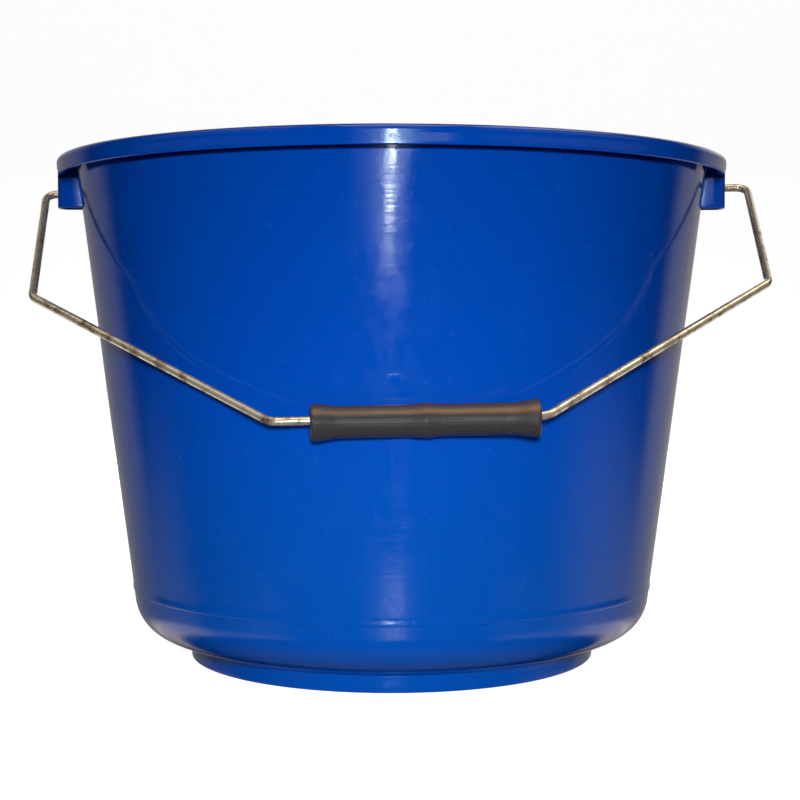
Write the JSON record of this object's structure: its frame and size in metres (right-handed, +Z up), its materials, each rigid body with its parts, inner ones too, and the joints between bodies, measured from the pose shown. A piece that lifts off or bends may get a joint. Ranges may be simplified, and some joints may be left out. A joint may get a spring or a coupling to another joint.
{
  "type": "mortar bucket",
  "caption": "Tapered plastic builder's bucket with a turned-down rim, two moulded bail ears, a swinging bent-wire bail and a turning moulded grip.",
  "frame": {"origin": "centre of the foot ring, on the plane the bucket stands on", "axes": "+Z up along the tub's axis, X through the two bail ears (+X is the higher-hung end of the resting wire), and the bail rests against the wall on the -Y side"},
  "size_m": [0.3552, 0.33, 0.2445],
  "materials": {
    "tub_plastic": "smooth injection-moulded polypropylene, glossy with light handling scratches",
    "bail_zinc": "zinc-plated drawn steel wire, slightly yellowed",
    "grip_plastic": "satin moulded plastic"
  },
  "bodies": {
    "tub": {"tub": "tub_plastic"},
    "bail": {"bail_wire": "bail_zinc"},
    "grip": {"grip": "grip_plastic"}
  },
  "joints": [
    {"name": "bail_swing", "type": "hinge", "parent": "tub", "child": "bail", "pos_m": [0, 0, 0.2319], "axis": [-0.9999, 0, -0.0102], "range_deg": [0, 251.7]},
    {"name": "grip_spin", "type": "hinge", "parent": "bail", "child": "grip", "pos_m": [0.01398, -0.14807, 0.12454], "axis": [0.9997, 0.0142, 0.0204], "continuous": true}
  ]
}
